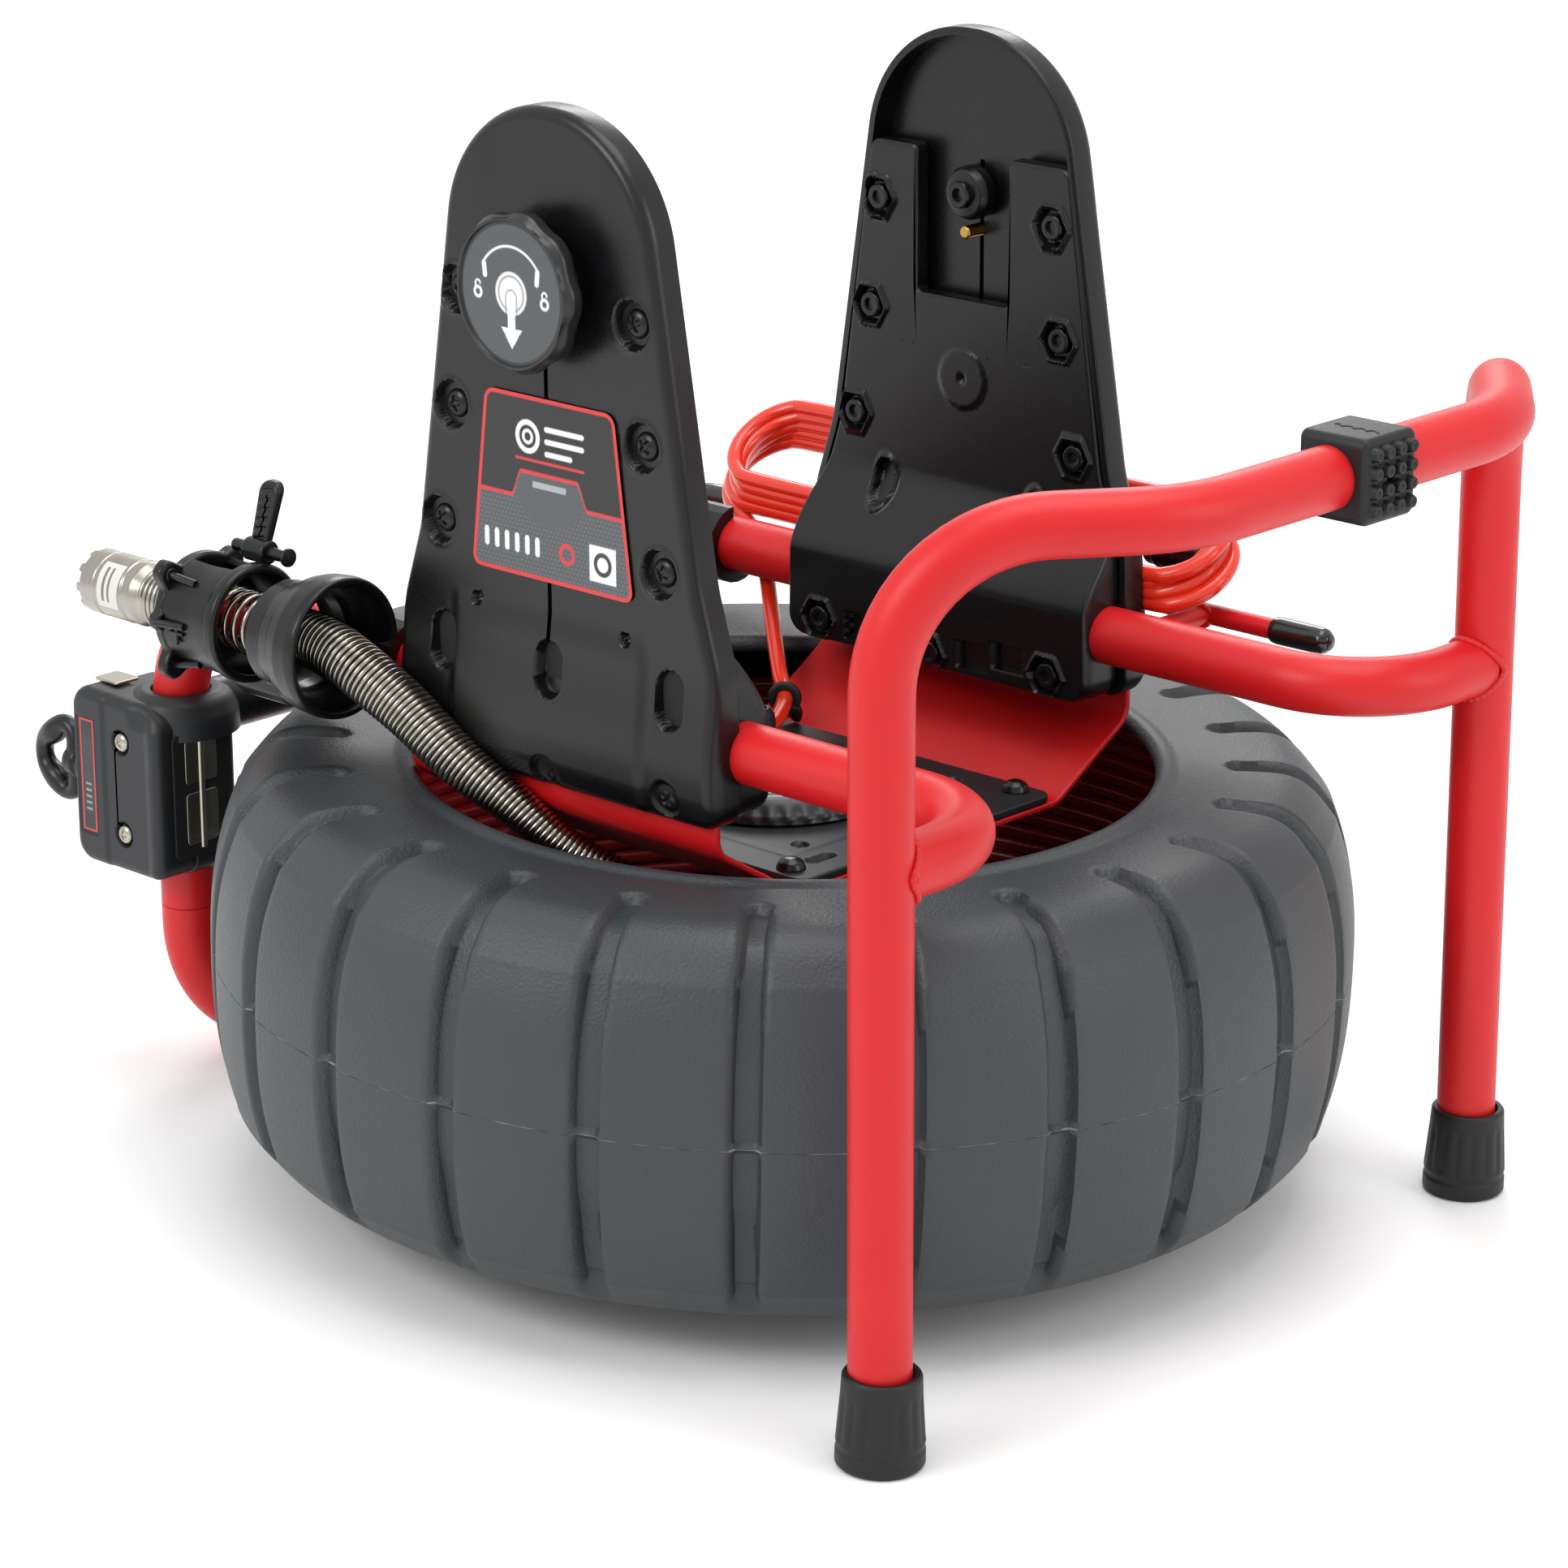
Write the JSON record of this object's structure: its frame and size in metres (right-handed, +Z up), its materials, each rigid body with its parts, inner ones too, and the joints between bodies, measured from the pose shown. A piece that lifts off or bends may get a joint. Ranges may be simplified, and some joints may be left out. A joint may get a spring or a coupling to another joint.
{
  "type": "drain inspection reel",
  "caption": "Push-cable drain inspection reel: a tyre-shaped cable drum hung in a bent red tube frame with two docking arms, a spring-mounted camera head and a clamped sensor housing.",
  "frame": {"origin": "where the drum's axis meets the floor that the feet stand on", "axes": "+Z up along the drum's axis; +X towards the carrying bar, -X towards the camera head; -Y towards the near docking arm"},
  "size_m": [0.5784, 0.434, 0.4258],
  "materials": {
    "red_paint": "satin powder coat",
    "black_plastic": "satin moulded",
    "grey_plastic": "fine spark texture",
    "drum_plastic": "leather grain",
    "rubber": "soft matte",
    "steel": "satin",
    "cable_red": "glossy extruded",
    "cable_maroon": "glossy extruded"
  },
  "bodies": {
    "frame": {"leg_hoop": "red_paint", "near_rail": "red_paint", "far_rail": "red_paint", "front_cross_tube": "red_paint", "hub_tray": "red_paint", "cable_wrap_rod": "red_paint", "hub_cover_plate": "black_plastic", "slip_ring_core": "black_plastic", "cover_rivet_1": "black_plastic", "cover_rivet_2": "black_plastic", "cover_rivet_3": "black_plastic", "cover_rivet_4": "black_plastic", "near_arm_outer_shell": "black_plastic", "near_arm_inner_cover": "black_plastic", "far_arm_outer_shell": "black_plastic", "far_arm_inner_cover": "black_plastic", "near_arm_label": "black_plastic", "front_bridge": "black_plastic", "guide_funnel": "black_plastic", "camera_clip": "black_plastic", "clip_strap_pin": "black_plastic", "system_cable_clip": "black_plastic", "system_cable_plug": "black_plastic", "sensor_front_shell": "grey_plastic", "sensor_rear_shell": "grey_plastic", "near_foot": "rubber", "far_foot": "rubber", "bar_rest_block": "rubber", "front_handle_bar": "rubber", "rod_cap_front": "rubber", "rod_cap_rear": "rubber", "camera_head": "steel", "camera_spring": "steel", "push_spring": "steel", "hub_axle": "steel", "axle_nut": "steel", "system_cable_hank": "cable_red", "system_cable": "cable_red"},
    "drum": {"drum_upper_shell": "drum_plastic", "drum_lower_shell": "drum_plastic", "drum_hub": "grey_plastic", "lower_hub_bearing": "steel", "upper_hub_bearing": "steel", "push_cable_coil": "cable_maroon"},
    "near_knob": {"near_latch_knob": "black_plastic", "near_latch_cam": "steel"},
    "far_knob": {"far_latch_knob": "black_plastic", "far_latch_cam": "steel"},
    "strap": {"clip_strap": "rubber"},
    "sensor_knob": {"sensor_clamp_knob": "grey_plastic"},
    "lock_ring": {"slip_ring_lock": "black_plastic"}
  },
  "joints": [
    {"name": "drum_spin", "type": "hinge", "parent": "frame", "child": "drum", "pos_m": [0, 0, 0.0936], "axis": [0, 0, 1], "continuous": true},
    {"name": "near_latch_turn", "type": "hinge", "parent": "frame", "child": "near_knob", "pos_m": [-0.01137, -0.118, 0.36182], "axis": [0, 1, 0], "range_deg": [-30, 30]},
    {"name": "far_latch_turn", "type": "hinge", "parent": "frame", "child": "far_knob", "pos_m": [-0.01137, 0.118, 0.36182], "axis": [0, 1, 0], "range_deg": [-30, 30]},
    {"name": "clip_strap_swing", "type": "hinge", "parent": "frame", "child": "strap", "pos_m": [-0.1545, -0.126, 0.23626], "axis": [0.9995, 0, 0.0314], "range_deg": [-40, 75]},
    {"name": "sensor_knob_turn", "type": "hinge", "parent": "frame", "child": "sensor_knob", "pos_m": [-0.27022, -0.117, 0.12057], "axis": [0.9995, 0, 0.0314], "continuous": true},
    {"name": "slip_ring_turn", "type": "hinge", "parent": "frame", "child": "lock_ring", "pos_m": [-0.00471, 0, 0.14993], "axis": [-0.0314, 0, 0.9995], "range_deg": [0, 40]}
  ]
}
